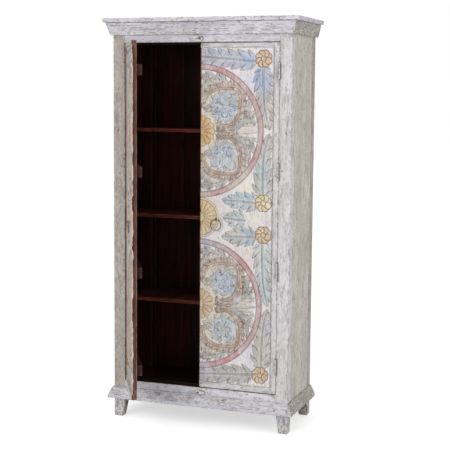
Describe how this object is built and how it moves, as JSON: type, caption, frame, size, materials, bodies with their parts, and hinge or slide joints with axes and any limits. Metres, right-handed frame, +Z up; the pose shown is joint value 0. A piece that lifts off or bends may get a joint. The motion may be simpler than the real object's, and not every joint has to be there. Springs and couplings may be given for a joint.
{
  "type": "cabinet",
  "caption": "Tall two-door wardrobe cabinet in distressed whitewashed wood with carved painted doors, shelves, tapered feet, ring pulls and turn buttons.",
  "frame": {"origin": "on the floor, at the middle of the whole width and of the whole depth with the left door open as it rests", "axes": "+Z up, +Y towards the cabinet's back, +X to the right of someone facing the doors"},
  "size_m": [0.903, 0.6768, 1.8],
  "materials": {
    "whitewashed_wood": "distressed whitewash over wood",
    "painted_carving": "carved wood, whitewashed, with worn pastel paint",
    "stained_wood": "dark reddish stain",
    "aged_iron": "aged, with whitewash rubbed on"
  },
  "bodies": {
    "carcass": {"back_boards": "stained_wood", "back_rail_bottom": "stained_wood", "back_rail_top": "stained_wood", "base_moulding_front": "whitewashed_wood", "base_moulding_left": "whitewashed_wood", "base_moulding_right": "whitewashed_wood", "bottom_button_screw": "aged_iron", "bottom_rail_front": "whitewashed_wood", "cornice_front": "whitewashed_wood", "cornice_left": "whitewashed_wood", "cornice_right": "whitewashed_wood", "door_stops": "stained_wood", "floor_board": "stained_wood", "frame_hinge_leaves_left": "aged_iron", "frame_hinge_leaves_right": "aged_iron", "frame_leaf_screws_left": "aged_iron", "frame_leaf_screws_right": "aged_iron", "hinge_pins_left": "aged_iron", "hinge_pins_right": "aged_iron", "post_back_left": "whitewashed_wood", "post_back_right": "whitewashed_wood", "post_front_left": "whitewashed_wood", "post_front_right": "whitewashed_wood", "shelf_cleats_lower": "stained_wood", "shelf_cleats_middle": "stained_wood", "shelf_cleats_upper": "stained_wood", "shelf_lower": "stained_wood", "shelf_middle": "stained_wood", "shelf_upper": "stained_wood", "side_planks_left": "whitewashed_wood", "side_planks_right": "whitewashed_wood", "side_rail_bottom_left": "stained_wood", "side_rail_bottom_right": "stained_wood", "side_rail_top_left": "stained_wood", "side_rail_top_right": "stained_wood", "top_board": "whitewashed_wood", "top_button_screw": "aged_iron", "top_rail_front": "whitewashed_wood"},
    "left_door": {"left_door_panel": "painted_carving", "left_door_stile": "whitewashed_wood", "left_door_top_strip": "whitewashed_wood", "left_door_bottom_strip": "whitewashed_wood", "left_door_ledges": "stained_wood", "left_door_ledge_screws": "aged_iron", "left_door_hinge_leaves": "aged_iron", "left_door_leaf_screws": "aged_iron", "left_door_ring_eye": "aged_iron"},
    "right_door": {"right_door_panel": "painted_carving", "right_door_stile": "whitewashed_wood", "right_door_top_strip": "whitewashed_wood", "right_door_bottom_strip": "whitewashed_wood", "right_door_ledges": "stained_wood", "right_door_ledge_screws": "aged_iron", "right_door_hinge_leaves": "aged_iron", "right_door_leaf_screws": "aged_iron", "right_door_ring_eye": "aged_iron"},
    "left_pull_ring": {"left_door_pull_ring": "aged_iron"},
    "right_pull_ring": {"right_door_pull_ring": "aged_iron"},
    "top_button": {"top_turn_button": "whitewashed_wood"},
    "bottom_button": {"bottom_turn_button": "whitewashed_wood"}
  },
  "joints": [
    {"name": "left_door_hinge", "type": "hinge", "parent": "carcass", "child": "left_door", "pos_m": [-0.3592, -0.02286, 0.933], "axis": [0, 0, -1], "range_deg": [-61.3, 103.7]},
    {"name": "right_door_hinge", "type": "hinge", "parent": "carcass", "child": "right_door", "pos_m": [0.3592, -0.02286, 0.933], "axis": [0, 0, 1], "range_deg": [0, 165]},
    {"name": "top_button_turn", "type": "hinge", "parent": "carcass", "child": "top_button", "pos_m": [0, -0.01811, 1.7105], "axis": [0, -1, 0], "range_deg": [0, 180]},
    {"name": "bottom_button_turn", "type": "hinge", "parent": "carcass", "child": "bottom_button", "pos_m": [0, -0.01811, 0.15036], "axis": [0, -1, 0], "range_deg": [0, 180]},
    {"name": "left_ring_swing", "type": "hinge", "parent": "left_door", "child": "left_pull_ring", "pos_m": [-0.2257, -0.27035, 0.92982], "axis": [-0.4802, 0.8771, 0], "range_deg": [-4, 170]},
    {"name": "right_ring_swing", "type": "hinge", "parent": "right_door", "child": "right_pull_ring", "pos_m": [0.078, -0.02461, 0.92982], "axis": [-1, 0, 0], "range_deg": [-4, 170]}
  ]
}
